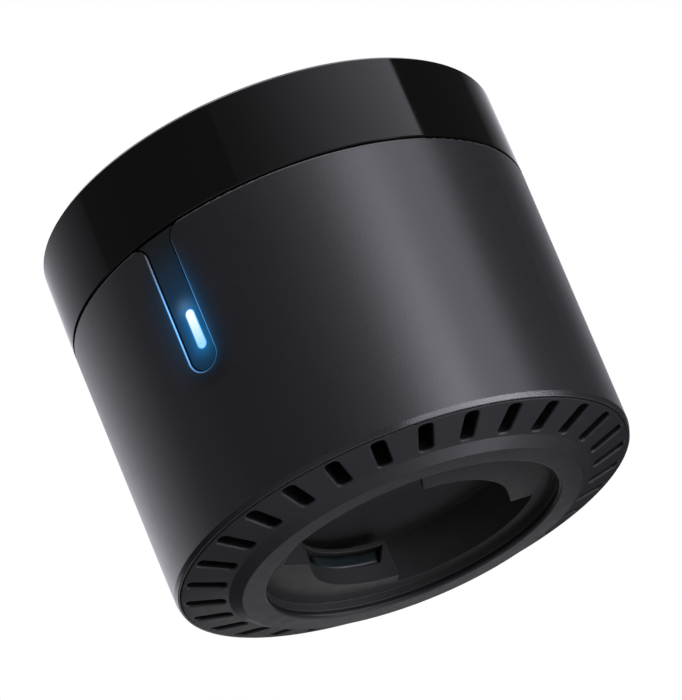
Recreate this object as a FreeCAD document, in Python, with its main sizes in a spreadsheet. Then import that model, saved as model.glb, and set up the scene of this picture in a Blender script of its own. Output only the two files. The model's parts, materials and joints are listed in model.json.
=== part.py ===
import FreeCAD, Part
import math
import os
import re
import Sketcher

# Infrared remote hub, in millimetres.
# +Z is up, the origin is the centre of the plane that the foot ring stands on,
# and the slot with the light faces -Y. The power inlet and the reset button face +Y.

doc = FreeCAD.newDocument("remote_hub")
dims = doc.addObject("Spreadsheet::Sheet", "dims")

SIZES = [
    # Outer form
    ("overall_height", 41.8),
    ("top_radius", 25.0),
    ("foot_radius", 24.5),
    ("body_foot", 2.85),
    ("rim_radius", 24.3),
    ("rim_level", 2.3),
    ("seam_level", 31.92),
    ("seam_gap", 0.18),
    ("through_cut", 6.0),
    ("cut_past", 1.0),
    ("root_embed", 0.4),
    # Cap
    ("cap_wall", 1.4),
    ("cap_roof", 1.5),
    ("cap_shoulder", 0.35),
    ("cap_bevel", 0.1),
    ("skirt_inner", 22.1),
    ("skirt_outer", 23.25),
    ("skirt_root", 33.4),
    ("skirt_notch", 5.2),
    # Shell
    ("shell_inner", 22.9),
    ("shell_ledge", 29.0),
    ("ledge_inner", 23.4),
    ("rebate_radius", 24.1),
    ("hook_groove", 6.6),
    ("hook_height", 1.0),
    ("boss_radius", 1.5),
    ("boss_circle", 20.2),
    ("boss_foot", 22.0),
    ("boss_top", 31.0),
    ("boss_web", 2.0),
    ("boss_turn", 6.0),
    ("pilot_radius", 0.7),
    ("pilot_depth", 5.5),
    # Slot, strip and light
    ("slot_half", 1.62),
    ("slot_foot", 16.7),
    ("slot_flare", 1.6),
    ("slot_lip", 0.25),
    ("strip_gap", 0.16),
    ("strip_recess", 0.22),
    ("strip_top", 31.85),
    ("strip_back", 21.4),
    ("flange_half", 3.4),
    ("flange_foot", 15.0),
    ("flange_top", 30.7),
    ("light_across", 0.4),
    ("light_low", 18.93),
    ("light_high", 23.2),
    ("light_half", 0.5),
    ("light_fit", 0.04),
    ("front_length", 5.0),
    ("guide_half", 1.4),
    ("guide_back", 19.3),
    ("guide_foot", 11.7),
    ("guide_top", 24.2),
    # Base plate
    ("base_radius", 24.0),
    ("base_edge", 2.21),
    ("floor_level", 3.6),
    ("ring_outer", 18.3),
    ("ring_inner", 15.7),
    ("ring_root", 19.45),
    ("ring_height", 0.865),
    ("ring_fillet", 0.25),
    ("ring_round", 0.2),
    ("ring_mouth", 0.35),
    ("joint_level", 0.64),
    ("joint_bevel", 0.1),
    ("seat_radius", 17.3),
    ("vent_count", 30),
    ("vent_near", 19.85),
    ("vent_far", 23.6),
    ("vent_half", 0.75),
    ("vent_corner", 0.5),
    ("vent_bevel", 0.13),
    ("vent_slope", 16.48),
    ("standoff_radius", 1.3),
    ("standoff_circle", 20.8),
    ("standoff_turn", 54.0),
    ("hook_inner", 21.9),
    ("hook_outer", 22.7),
    ("hook_half", 1.6),
    ("hook_top", 8.0),
    ("hook_barb", 23.2),
    ("barb_play", 0.15),
    ("hook_turn", 114.0),
    # Twist-lock socket
    ("face_level", 1.58),
    ("face_slope", 7.2),
    ("face_inner", 9.0),
    ("socket_flange", 17.2),
    ("socket_outer", 15.0),
    ("socket_bore", 13.65),
    ("socket_ceiling", 6.4),
    ("socket_top", 7.9),
    ("lip_radius", 10.6),
    ("lip_root", 14.1),
    ("lip_start", -45.5),
    ("root_start", -47.5),
    ("root_middle", -10.0),
    ("lip_flare", 30.0),
    ("lip_corner", 44.0),
    ("lip_end", 48.5),
    ("lip_top", 5.1),
    ("window_low", 2.85),
    ("window_high", 4.68),
    ("window_middle", -12.1),
    ("window_spread", 31.8),
    ("window_slant", 5.2),
    ("window_depth", 12.4),
    ("channel_inner", 10.95),
    ("channel_outer", 12.45),
    ("channel_start", -42.8),
    ("channel_end", 19.0),
    ("grip_inner", 11.0),
    ("grip_outer", 12.4),
    ("grip_start", -39.8),
    ("grip_end", 4.0),
    ("grip_height", 1.75),
    ("grip_round", 0.6),
    # Boards
    ("board_level", 9.5),
    ("board_thickness", 1.2),
    ("board_radius", 22.5),
    ("emitter_radius", 21.7),
    ("riser_half", 7.0),
    ("riser_front", 15.5),
    ("screw_head", 1.35),
    ("head_height", 0.9),
    ("screw_radius", 0.68),
    ("screw_length", 4.5),
    ("screw_count", 3),
    ("screw_slot", 0.35),
    ("screw_play", 0.15),
    ("cross_reach", 0.9),
    # Parts on the main board
    ("status_led_width", 1.6),
    ("status_led_depth", 0.8),
    ("status_led_height", 0.7),
    ("inductor_corner", 0.9),
    ("capacitor_radius", 2.5),
    ("capacitor_length", 5.8),
    # Power inlet
    ("usb_half", 3.75),
    ("usb_height", 2.6),
    ("usb_front", 23.3),
    ("usb_back", 17.6),
    ("usb_sheet", 0.25),
    ("usb_taper", 1.0),
    ("usb_knee", 1.17),
    ("usb_end", 0.6),
    ("tongue_half", 2.6),
    ("tongue_height", 0.6),
    ("tongue_drop", 0.35),
    ("contact_count", 5),
    ("contact_pitch", 0.65),
    ("contact_half", 0.17),
    ("contact_height", 0.1),
    ("contact_end", 0.9),
    ("port_half", 4.1),
    ("port_margin", 0.3),
    ("port_corner", 0.9),
    # Reset button and its switch
    ("reset_level", 19.0),
    ("reset_radius", 1.5),
    ("reset_clearance", 0.1),
    ("reset_end", 24.55),
    ("reset_flange", 2.4),
    ("flange_back", 21.6),
    ("flange_front", 22.4),
    ("switch_half", 3.0),
    ("switch_front", 20.3),
    ("plunger_radius", 1.65),
    ("plunger_back", 19.4),
    ("plunger_bore", 1.75),
    ("plunger_floor", 18.9),
    # Driver transistors on the riser board
    ("driver_count", 3),
    ("driver_pitch", 4.0),
    ("driver_half", 1.45),
    ("driver_depth", 1.0),
    ("driver_low", 24.0),
    ("driver_high", 25.3),
    # Infrared emitters
    ("emitter_count", 6),
    ("emitter_level", 36.2),
    ("emitter_body", 2.5),
    ("emitter_flange", 2.9),
    ("emitter_back", 13.0),
    ("emitter_front", 19.0),
    ("emitter_rim", 1.0),
    ("lead_half", 0.25),
    ("lead_pitch", 1.27),
    ("lead_back", 1.5),
    ("top_led_stand", 1.0),
    ("top_led_flange", 1.9),
    ("top_led_rim", 0.8),
    ("top_led_radius", 1.5),
    ("top_led_length", 3.6),
    ("carrier_inner", 14.6),
    ("carrier_outer", 17.6),
    ("saddle_play", 0.02),
    ("receiver_gap", 2.8),
    ("receiver_lens", 1.6),
    ("lens_along", -18.4),
    ("lens_height", 3.6),
]

# Blocks that stand on a board: place across and along, then width, depth and height
BLOCK_SIZES = ("across", "along", "width", "depth", "height")
BLOCKS = [
    ("wifi_board", -9.5, -2.0, 13.0, 16.0, 0.8),
    ("wifi_chip", -9.5, -3.0, 5.0, 5.0, 0.85),
    ("shield_outside", -9.5, -4.0, 11.0, 11.0, 2.0),
    ("shield_inside", -9.5, -4.0, 10.6, 10.6, 1.8),
    ("flash_chip", 3.0, -8.0, 5.0, 4.0, 1.5),
    ("crystal", 3.0, -2.0, 3.2, 2.5, 0.8),
    ("regulator_body", 6.0, 8.0, 6.5, 3.5, 1.6),
    ("regulator_tab", 6.0, 10.5, 3.0, 2.0, 0.3),
    ("inductor_block", 13.0, 1.0, 5.0, 5.0, 2.4),
    ("capacitor_stand", 12.5, -7.5, 5.3, 5.3, 0.6),
    ("receiver_block", 0.0, -17.0, 5.0, 3.2, 6.0),
]
for name, *numbers in BLOCKS:
    for size_name, number in zip(BLOCK_SIZES, numbers):
        SIZES.append((f"{name}_{size_name}", number))

# How near an edge must be to the place looked for
NEAR = 1e-3
LOOSELY_NEAR = 0.01

for row, (alias, size) in enumerate(SIZES, start=1):
    dims.set(f"A{row}", alias)
    dims.set(f"B{row}", str(size))
    dims.setAlias(f"B{row}", alias)
doc.recompute()

nodes = []


# Expressions


def bound(text):
    """Points each size named in the text at its cell."""
    return re.sub(r"[a-z]+(?:_[a-z]+)+", lambda word: "dims." + word.group(0), text)


def value(text):
    """The number that a text of size names comes to."""
    return float(dims.evalExpression(bound(text)))


def bind(item, **texts):
    """Ties properties of an object to the sheet."""
    for name, text in texts.items():
        item.setExpression(name, bound(text))


def bind_place(item, across, along, up):
    """Ties an object's place to the sheet."""
    for axis, text in zip("xyz", (across, along, up)):
        item.setExpression("Placement.Base." + axis, bound(text))


# Bodies, sketches and features


def new_body(label, keep=True):
    body = doc.addObject("PartDesign::Body", label)
    body.Label = label
    if keep:
        nodes.append(body)
    return body


def origin_feature(body, role):
    return next(item for item in body.Origin.OriginFeatures if item.Role == role)


def new_sketch(body, role, offset="0", corners=(), placement=None):
    """A closed sketch on an origin plane, moved along the plane's normal by the offset."""
    sketch = body.newObject("Sketcher::SketchObject", body.Label + "_sketch")
    sketch.AttachmentSupport = (origin_feature(body, role), "")
    sketch.MapMode = "FlatFace"
    if placement:
        sketch.AttachmentOffset = placement
    sketch.setExpression("AttachmentOffset.Base.z", bound(offset))
    draw(sketch, corners)
    return sketch


def draw(sketch, corners):
    """Draws corners of (x, y) or (x, y, radius, turn), where the last two bend the edge that follows.

    The turn is left or right along the way that the corners run, as on a road.
    """
    spots = [FreeCAD.Vector(value(corner[0]), value(corner[1]), 0) for corner in corners]
    ends = []
    for index, corner in enumerate(corners):
        start = spots[index]
        stop = spots[(index + 1) % len(spots)]
        if len(corner) == 2:
            edge = sketch.addGeometry(Part.LineSegment(start, stop), False)
            ends.append((edge, 1, 2))
            continue
        radius = value(corner[2])
        half = (stop - start) * 0.5
        rise = math.sqrt(max(radius ** 2 - half.Length ** 2, 0))
        side = FreeCAD.Vector(-half.y, half.x, 0).normalize()
        left = corner[3] == "left"
        centre = start + half + side * (rise if left else -rise)
        first, last = (start, stop) if left else (stop, start)
        angle_a = math.atan2(first.y - centre.y, first.x - centre.x)
        angle_b = math.atan2(last.y - centre.y, last.x - centre.x)
        if angle_b <= angle_a:
            angle_b += 2 * math.pi
        circle = Part.Circle(centre, FreeCAD.Vector(0, 0, 1), radius)
        edge = sketch.addGeometry(Part.ArcOfCircle(circle, angle_a, angle_b), False)
        ends.append((edge, 1, 2) if left else (edge, 2, 1))
    for index, corner in enumerate(corners):
        edge, start, stop = ends[index]
        before, unused, before_stop = ends[index - 1]
        sketch.addConstraint(Sketcher.Constraint("Coincident", before, before_stop, edge, start))
        pin(sketch, "DistanceX", edge, start, corner[0], -2)
        pin(sketch, "DistanceY", edge, start, corner[1], -1)
        if len(corner) == 4:
            radius = sketch.addConstraint(Sketcher.Constraint("Radius", edge, value(corner[2])))
            sketch.setExpression(f"Constraints[{radius}]", bound(corner[2]))


def pin(sketch, kind, edge, end, text, axis):
    """Holds a corner's coordinate at a size from the sheet, or on the axis where it is nought."""
    if text == "0":
        sketch.addConstraint(Sketcher.Constraint("PointOnObject", edge, end, axis))
        return
    held = sketch.addConstraint(Sketcher.Constraint(kind, -1, 1, edge, end, value(text)))
    sketch.setExpression(f"Constraints[{held}]", bound(text))


def circle(sketch, across, up, radius):
    """A full circle in a sketch."""
    centre = FreeCAD.Vector(value(across), value(up), 0)
    shape = Part.Circle(centre, FreeCAD.Vector(0, 0, 1), value(radius))
    edge = sketch.addGeometry(shape, False)
    size = sketch.addConstraint(Sketcher.Constraint("Radius", edge, value(radius)))
    sketch.setExpression(f"Constraints[{size}]", bound(radius))
    pin(sketch, "DistanceX", edge, 3, across, -2)
    pin(sketch, "DistanceY", edge, 3, up, -1)


def box_corners(left, right, low, high):
    return [(left, low), (right, low), (right, high), (left, high)]


def rounded_corners(left, right, low, high, radius):
    """A rectangle with round corners."""
    return [
        (f"{left} + {radius}", low),
        (f"{right} - {radius}", low, radius, "left"),
        (right, f"{low} + {radius}"),
        (right, f"{high} - {radius}", radius, "left"),
        (f"{right} - {radius}", high),
        (f"{left} + {radius}", high, radius, "left"),
        (left, f"{high} - {radius}"),
        (left, f"{low} + {radius}", radius, "left"),
    ]


def feature(body, kind, sketch):
    item = body.newObject("PartDesign::" + kind, body.Label + "_" + kind.lower())
    item.Profile = sketch
    return item


def turned(body, corners):
    """A solid of revolution about Z from corners of (radius, level)."""
    item = feature(body, "Revolution", new_sketch(body, "XZ_Plane", corners=corners))
    item.ReferenceAxis = (item.Profile[0], ["V_Axis"])
    item.Angle = 360
    doc.recompute()
    return item


def groove(body, corners):
    """A turned cut about Z."""
    before = body.Tip.Shape.Volume
    item = feature(body, "Groove", new_sketch(body, "XZ_Plane", corners=corners))
    item.ReferenceAxis = (item.Profile[0], ["V_Axis"])
    item.Angle = 360
    doc.recompute()
    check_change(item, before, less=True)
    return item


def pad(body, sketch, length, back=False):
    before = body.Tip.Shape.Volume if body.Tip else 0
    item = feature(body, "Pad", sketch)
    bind(item, Length=length)
    item.Reversed = back
    doc.recompute()
    check_change(item, before, less=False)
    return item


def pocket(body, sketch, length):
    """A cut along the sketch's normal."""
    before = body.Tip.Shape.Volume
    item = feature(body, "Pocket", sketch)
    bind(item, Length=length)
    item.Reversed = True
    doc.recompute()
    check_change(item, before, less=True)
    return item


def check_change(item, before, less):
    """Stops when a feature added or cut nothing."""
    change = item.Shape.Volume - before
    if (less and change > -1e-6) or (not less and change < 1e-6):
        raise RuntimeError(f"{item.Label} changed the volume by {change:.4f}")


def around(body, items, count):
    """Repeats features evenly about Z."""
    item = body.newObject("PartDesign::PolarPattern", body.Label + "_pattern")
    item.Originals = items
    item.Axis = (origin_feature(body, "Z_Axis"), [""])
    item.Angle = 360
    bind(item, Occurrences=count)
    body.Tip = item
    doc.recompute()
    return item


def ring_edges(shape, radius, level):
    """Names of the full circles about Z at a radius and level."""
    found = []
    for index, edge in enumerate(shape.Edges, start=1):
        if not isinstance(edge.Curve, Part.Circle):
            continue
        centre = edge.Curve.Center
        on_axis = math.hypot(centre.x, centre.y) < NEAR
        at_level = abs(centre.z - value(level)) < NEAR
        if on_axis and at_level and abs(edge.Curve.Radius - value(radius)) < NEAR:
            found.append(f"Edge{index}")
    return found


def soften(body, kind, size, names):
    """Rounds or bevels the named edges of the body so far."""
    item = body.newObject("PartDesign::" + kind, body.Label + "_" + kind.lower())
    item.Base = (body.Tip if body.Tip is not item else item.BaseFeature, names)
    size_name = {"Fillet": "Radius", "Chamfer": "Size"}[kind]
    bind(item, **{size_name: size})
    doc.recompute()
    return item


def soften_ring(body, kind, size, radius, level):
    names = ring_edges(body.Tip.Shape, radius, level)
    if not names:
        raise RuntimeError(f"no ring at {radius}, {level} on {body.Label}")
    return soften(body, kind, size, names)


# Plain solids and groups


def block(label, low, high, keep=True):
    """A box between two corners of size texts."""
    item = doc.addObject("Part::Box", label)
    spans = [f"({b}) - ({a})" for a, b in zip(low, high)]
    bind(item, Length=spans[0], Width=spans[1], Height=spans[2])
    bind_place(item, *low)
    return finish_solid(item, label, keep)


def rod(label, radius, length, foot, direction=(0, 0, 1), keep=True):
    """A cylinder from its foot along a direction."""
    item = doc.addObject("Part::Cylinder", label)
    bind(item, Radius=radius, Height=length)
    item.Placement.Rotation = FreeCAD.Rotation(FreeCAD.Vector(0, 0, 1), FreeCAD.Vector(*direction))
    bind_place(item, *foot)
    return finish_solid(item, label, keep)


def ball(label, radius, centre):
    item = doc.addObject("Part::Sphere", label)
    bind(item, Radius=radius)
    bind_place(item, *centre)
    return finish_solid(item, label, False)


def finish_solid(item, label, keep):
    item.Label = label
    if keep:
        nodes.append(item)
    return item


def joined(label, items, keep=True):
    item = doc.addObject("Part::MultiFuse", label)
    item.Shapes = items
    return finish_solid(item, label, keep)


def cut(label, base, tool, keep=True):
    item = doc.addObject("Part::Cut", label)
    item.Base = base
    item.Tool = tool
    return finish_solid(item, label, keep)


def grouped(label, items):
    """Identical separate solids that share one node."""
    item = doc.addObject("Part::Compound", label)
    item.Links = items
    return finish_solid(item, label, True)


def polar(circle_radius, angle):
    """Texts of the point at an angle on a circle about Z."""
    return f"{circle_radius} * cos({angle})", f"{circle_radius} * sin({angle})"


# Outer surface of the tapered shell

SHELL_TAPER = "(top_radius - foot_radius) / (seam_level - body_foot)"


def shell_surface(level):
    """Text of the shell's outer radius at a level."""
    return f"(foot_radius + (({level}) - body_foot) * {SHELL_TAPER})"


# The strip's flange meets the round inner wall along its two upright edges
STRIP_SEAT = "sqrt(shell_inner ^ 2 - flange_half ^ 2)"


def slot_corners(gap):
    """The open-topped slot as seen from the front, drawn in by a gap, from its foot upwards."""
    half = f"slot_half - {gap}"
    middle = "slot_foot + slot_half"
    flare = f"slot_flare + {gap}"
    turn = "seam_level - slot_flare"
    wide = "slot_half + slot_flare"
    above = "seam_level + cut_past"
    return [
        ("0", f"slot_foot + {gap}", half, "left"),
        (half, middle),
        (half, turn, flare, "right"),
        (wide, f"seam_level + {gap}"),
        (wide, above),
        (f"-({wide})", above),
        (f"-({wide})", f"seam_level + {gap}", flare, "right"),
        (f"-({half})", turn),
        (f"-({half})", middle, half, "left"),
    ]


# Body shell


def make_body_shell():
    shell = new_body("body_shell")
    turned(shell, [
        ("rebate_radius", "rim_level"),
        ("rim_radius", "rim_level"),
        ("foot_radius", "body_foot"),
        ("top_radius", "seam_level"),
        ("ledge_inner", "seam_level"),
        ("ledge_inner", "shell_ledge"),
        ("shell_inner", "shell_ledge"),
        ("shell_inner", "hook_groove + hook_height"),
        ("ledge_inner", "hook_groove + hook_height"),
        ("ledge_inner", "hook_groove"),
        ("shell_inner", "hook_groove"),
        ("shell_inner", "floor_level"),
        ("rebate_radius", "floor_level"),
    ])
    # The slot in front, and its softened lips with the top edge
    pocket(shell, new_sketch(shell, "XZ_Plane", "strip_back - cut_past", slot_corners("0")), "through_cut")
    outer_edges = []
    for index, edge in enumerate(shell.Tip.Shape.Edges, start=1):
        middle = edge.valueAt((edge.FirstParameter + edge.LastParameter) / 2)
        outer = value(shell_surface(f"{middle.z:.6f}"))
        near_slot = middle.y < 0 and abs(middle.x) < value("slot_half + slot_flare") + LOOSELY_NEAR
        on_surface = abs(math.hypot(middle.x, middle.y) - outer) < LOOSELY_NEAR
        on_top = abs(middle.z - value("seam_level")) < NEAR
        if on_surface and (near_slot or on_top) and middle.z > value("slot_foot") - LOOSELY_NEAR:
            outer_edges.append(f"Edge{index}")
    soften(shell, "Fillet", "slot_lip", outer_edges)
    # The power port and the reset hole at the rear
    port_low = "board_level + board_thickness - port_margin"
    port_high = "board_level + board_thickness + usb_height + port_margin"
    behind = "-(top_radius + cut_past)"
    pocket(shell, new_sketch(shell, "XZ_Plane", behind, rounded_corners(
        "-port_half", "port_half", port_low, port_high, "port_corner")), "through_cut - cut_past")
    hole = new_sketch(shell, "XZ_Plane", behind)
    circle(hole, "0", "reset_level", "reset_radius + reset_clearance")
    pocket(shell, hole, "through_cut - cut_past")
    # Screw bosses on webs for the emitter board
    across, along = polar("boss_circle", "boss_turn")
    boss_sketch = new_sketch(shell, "XY_Plane", "boss_foot")
    circle(boss_sketch, across, along, "boss_radius")
    boss = pad(shell, boss_sketch, "boss_top - boss_foot")
    spin = FreeCAD.Placement(FreeCAD.Vector(), FreeCAD.Rotation(FreeCAD.Vector(0, 0, 1), value("boss_turn")))
    web_sketch = new_sketch(shell, "XY_Plane", "boss_foot", box_corners(
        "boss_circle", "shell_inner + root_embed", "-boss_web / 2", "boss_web / 2"), placement=spin)
    web = pad(shell, web_sketch, "shell_ledge - boss_foot")
    hole = new_sketch(shell, "XY_Plane", "boss_top - pilot_depth")
    circle(hole, across, along, "pilot_radius")
    drilled = pocket(shell, hole, "pilot_depth + cut_past")
    around(shell, [boss, web, drilled], "screw_count")


# Top cap


def make_top_cap():
    cap = new_body("top_cap")
    turned(cap, [
        ("top_radius", "seam_level + seam_gap"),
        ("top_radius", "overall_height"),
        ("0", "overall_height"),
        ("0", "overall_height - cap_roof"),
        ("top_radius - cap_wall", "overall_height - cap_roof"),
        ("top_radius - cap_wall", "skirt_root"),
        ("skirt_inner", "skirt_root"),
        ("skirt_inner", "shell_ledge"),
        ("skirt_outer", "shell_ledge"),
        ("skirt_outer", "seam_level + seam_gap"),
    ])
    # Notch in the skirt that clears the strip
    notch = box_corners("-skirt_notch", "skirt_notch", "shell_ledge - cut_past", "seam_level + seam_gap")
    pocket(cap, new_sketch(cap, "XZ_Plane", "strip_back - cut_past", notch), "through_cut")
    soften_ring(cap, "Chamfer", "cap_shoulder", "top_radius", "overall_height")
    soften_ring(cap, "Chamfer", "cap_bevel", "top_radius", "seam_level + seam_gap")


# Strip in the slot, and the light guide


def trim_to_surface(body, recess, top):
    """Cuts away what stands outside the shell's surface less a recess, or above a level."""
    low = "guide_foot - cut_past"
    groove(body, [
        ("0", top),
        (f"{shell_surface(top)} - {recess}", top),
        (f"{shell_surface(low)} - {recess}", low),
        ("top_radius + through_cut", low),
        ("top_radius + through_cut", "overall_height"),
        ("0", "overall_height"),
    ])


def make_slot_insert():
    strip = new_body("slot_insert")
    flange = box_corners("-flange_half", "flange_half", "flange_foot", "flange_top")
    pad(strip, new_sketch(strip, "XZ_Plane", "strip_back", flange), f"{STRIP_SEAT} - strip_back")
    pad(strip, new_sketch(strip, "XZ_Plane", STRIP_SEAT, slot_corners("strip_gap")), "front_length")
    trim_to_surface(strip, "strip_recess", "strip_top")
    window = new_sketch(strip, "XZ_Plane", "strip_back - cut_past", light_corners("light_fit"))
    pocket(strip, window, "through_cut")
    soften(strip, "Chamfer", "light_fit", window_edges(strip))


def light_corners(gap):
    """The upright pill of the light, grown by a gap."""
    half = f"(light_half + {gap})"
    left = f"light_across - {half}"
    right = f"light_across + {half}"
    return [
        ("light_across", f"light_low + light_half - {half}", half, "left"),
        (right, "light_low + light_half"),
        (right, "light_high - light_half", half, "left"),
        ("light_across", f"light_high - light_half + {half}", half, "left"),
        (left, "light_high - light_half"),
        (left, "light_low + light_half", half, "left"),
    ]


def window_edges(body):
    """Names of the edges of the light's window on the front surface."""
    found = []
    for index, edge in enumerate(body.Tip.Shape.Edges, start=1):
        middle = edge.valueAt((edge.FirstParameter + edge.LastParameter) / 2)
        inside = abs(middle.x - value("light_across")) < value("light_half + light_fit") + LOOSELY_NEAR
        at_level = value("light_low - light_half") < middle.z < value("light_high + light_half")
        if inside and at_level and middle.y < -value(f"{STRIP_SEAT} + light_half"):
            found.append(f"Edge{index}")
    return found


def make_light_guide():
    guide = new_body("light_guide")
    stem = box_corners("light_across - guide_half", "light_across + guide_half", "guide_foot", "guide_top")
    pad(guide, new_sketch(guide, "XZ_Plane", "guide_back", stem), "strip_back - guide_back")
    pad(guide, new_sketch(guide, "XZ_Plane", "strip_back", light_corners("0")), "front_length")
    trim_to_surface(guide, "strip_recess", "guide_top")


# Base plate


def make_base_plate():
    base = new_body("base_plate")
    turned(base, [
        ("ring_inner", "0"),
        ("ring_outer", "0"),
        ("ring_root", "ring_height"),
        ("base_radius", "base_edge"),
        ("base_radius", "floor_level"),
        ("seat_radius", "floor_level"),
        ("seat_radius", "joint_level"),
        ("ring_inner", "joint_level"),
    ])
    soften_ring(base, "Fillet", "ring_fillet", "ring_root", "ring_height")
    soften_ring(base, "Fillet", "ring_round", "ring_outer", "0")
    soften_ring(base, "Fillet", "ring_mouth", "ring_inner", "0")
    # Radial vents, each square to the sloping face and bevelled at its mouth.
    # The sketch lies on the sloping face: its first axis runs out along the slope.
    slope = value("vent_slope")
    middle = (value("vent_near") + value("vent_far")) / 2
    drop = value("ring_height") + (middle - value("ring_root")) * math.tan(math.radians(slope))
    tilted = FreeCAD.Placement(
        FreeCAD.Vector(middle, 0, drop), FreeCAD.Rotation(FreeCAD.Vector(0, 1, 0), -slope))
    through = on_slope(base, tilted, vent_corners("0"))
    vent = pocket(base, through, "through_cut")
    # The bevel runs from just outside the face to its depth inside
    outside = on_slope(base, tilted, vent_corners("2 * vent_bevel"), "-vent_bevel")
    inside = on_slope(base, tilted, vent_corners("0"), "vent_bevel")
    bevel = base.newObject("PartDesign::SubtractiveLoft", "base_plate_bevel")
    bevel.Profile = outside
    bevel.Sections = [inside]
    bevel.Ruled = True
    doc.recompute()
    around(base, [vent, bevel], "vent_count")
    # Standoffs for the main board
    across, along = polar("standoff_circle", "standoff_turn")
    post_sketch = new_sketch(base, "XY_Plane", "floor_level - root_embed")
    circle(post_sketch, across, along, "standoff_radius")
    post = pad(base, post_sketch, "board_level - floor_level + root_embed")
    hole = new_sketch(base, "XY_Plane", "board_level - pilot_depth")
    circle(hole, across, along, "pilot_radius")
    drilled = pocket(base, hole, "pilot_depth + cut_past")
    # Snap hooks that hold the shell
    spin = FreeCAD.Placement(FreeCAD.Vector(), FreeCAD.Rotation(FreeCAD.Vector(0, 0, 1), value("hook_turn")))
    arm_sketch = new_sketch(base, "XY_Plane", "floor_level - root_embed", box_corners(
        "hook_inner", "hook_outer", "-hook_half", "hook_half"), placement=spin)
    arm = pad(base, arm_sketch, "hook_top - floor_level + root_embed")
    barb_sketch = new_sketch(base, "XY_Plane", "hook_groove + barb_play", box_corners(
        "hook_inner", "hook_barb", "-hook_half", "hook_half"), placement=spin)
    barb = pad(base, barb_sketch, "hook_height - 2 * barb_play")
    around(base, [post, drilled, arm, barb], "screw_count")


def vent_corners(grown):
    """One vent's outline on the sloping face, grown by a margin."""
    reach = f"((vent_far - vent_near) / 2 / cos(vent_slope) + {grown})"
    half = f"(vent_half + {grown})"
    return rounded_corners(f"-{reach}", reach, f"-{half}", half, f"(vent_corner + {grown})")


def on_slope(body, placement, corners, depth="0"):
    """A sketch laid on the sloping underside, or at a depth inside it."""
    sketch = body.newObject("Sketcher::SketchObject", body.Label + "_sketch")
    sketch.AttachmentSupport = (origin_feature(body, "XY_Plane"), "")
    sketch.MapMode = "FlatFace"
    sketch.AttachmentOffset = placement.multiply(
        FreeCAD.Placement(FreeCAD.Vector(0, 0, value(depth)), FreeCAD.Rotation()))
    draw(sketch, corners)
    return sketch


# Twist-lock socket and its grip strips


def sector_corners(inner, outer, start, end):
    """A part of a ring between two angles."""
    return [
        (*polar(inner, start), inner, "left"),
        polar(inner, end),
        (*polar(outer, end), outer, "right"),
        polar(outer, start),
    ]


def face_height(radius):
    """Text of the level of the socket's shallow conical face at a radius."""
    return f"(face_level - (ring_inner - {radius}) * tan(face_slope))"


def make_bayonet_socket():
    socket = new_body("bayonet_socket")
    turned(socket, [
        ("socket_bore", "joint_level"),
        ("socket_flange", "joint_level"),
        ("socket_flange", "floor_level"),
        ("socket_outer", "floor_level"),
        ("socket_outer", "socket_top"),
        ("0", "socket_top"),
        ("0", "socket_ceiling"),
        ("socket_bore", "socket_ceiling"),
    ])
    # Two lips, each with a straight lead-in, a sharp corner and a slanting end
    lip = pad(socket, new_sketch(socket, "XY_Plane", "joint_level", [
        (*polar("lip_radius", "lip_start"), "lip_radius", "left"),
        polar("lip_radius", "lip_flare"),
        polar("lip_radius / cos(lip_corner - lip_flare)", "lip_corner"),
        polar("lip_root", "lip_end"),
        (*polar("lip_root", "lip_flare"), "lip_root", "right"),
        (*polar("lip_root", "root_middle"), "lip_root", "right"),
        polar("lip_root", "root_start"),
    ]), "lip_top - joint_level")
    # The window is cut straight out from the axis, and its end near the lip's start slants
    far = "lip_radius * sin(window_spread)"
    slanted = "lip_radius * sin(window_spread - window_slant)"
    facing = FreeCAD.Placement(FreeCAD.Vector(), FreeCAD.Rotation(
        FreeCAD.Vector(0, 1, 0), 90 + value("window_middle")))
    window = pocket(socket, new_sketch(socket, "XZ_Plane", "0", [
        (f"-{slanted}", "window_low"),
        (far, "window_low"),
        (far, "window_high"),
        (f"-{far}", "window_high"),
    ], placement=facing), "window_depth")
    # The channel behind the window holds the grip strip
    channel = pocket(socket, new_sketch(socket, "XY_Plane", "window_low", sector_corners(
        "channel_inner", "channel_outer", "channel_start", "channel_end")), "window_high - window_low")
    around(socket, [lip, window, channel], "2")
    # The recess ends in a shallow cone, which the lips share
    groove(socket, [
        ("face_inner", "0"),
        ("ring_inner", "0"),
        ("ring_inner", "face_level"),
        ("face_inner", face_height("face_inner")),
    ])
    soften_ring(socket, "Chamfer", "joint_bevel", "ring_inner", "joint_level")


def make_grip_strip(label, angle):
    """A curved bar behind the window of a lip."""
    strip = new_body(label)
    pad(strip, new_sketch(strip, "XY_Plane", "window_low", sector_corners(
        "grip_inner", "grip_outer", "grip_start", "grip_end")), "grip_height")
    inner_edges = []
    for index, edge in enumerate(strip.Tip.Shape.Edges, start=1):
        middle = edge.valueAt((edge.FirstParameter + edge.LastParameter) / 2)
        if abs(math.hypot(middle.x, middle.y) - value("grip_inner")) < NEAR:
            inner_edges.append(f"Edge{index}")
    soften(strip, "Fillet", "grip_round", inner_edges)
    strip.Placement = FreeCAD.Placement(
        FreeCAD.Vector(), FreeCAD.Rotation(FreeCAD.Vector(0, 0, 1), angle))


# Boards and screws

BOARD_TOP = "(board_level + board_thickness)"
EMITTER_TOP = "(boss_top + board_thickness)"


def make_board(label, level, radius, hole_circle, first_angle):
    board = new_body(label)
    disc = new_sketch(board, "XY_Plane", level)
    circle(disc, "0", "0", radius)
    pad(board, disc, "board_thickness")
    hole = new_sketch(board, "XY_Plane", level)
    across, along = polar(hole_circle, first_angle)
    circle(hole, across, along, "screw_radius + screw_play")
    drilled = pocket(board, hole, "board_thickness")
    around(board, [drilled], "screw_count")


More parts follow.
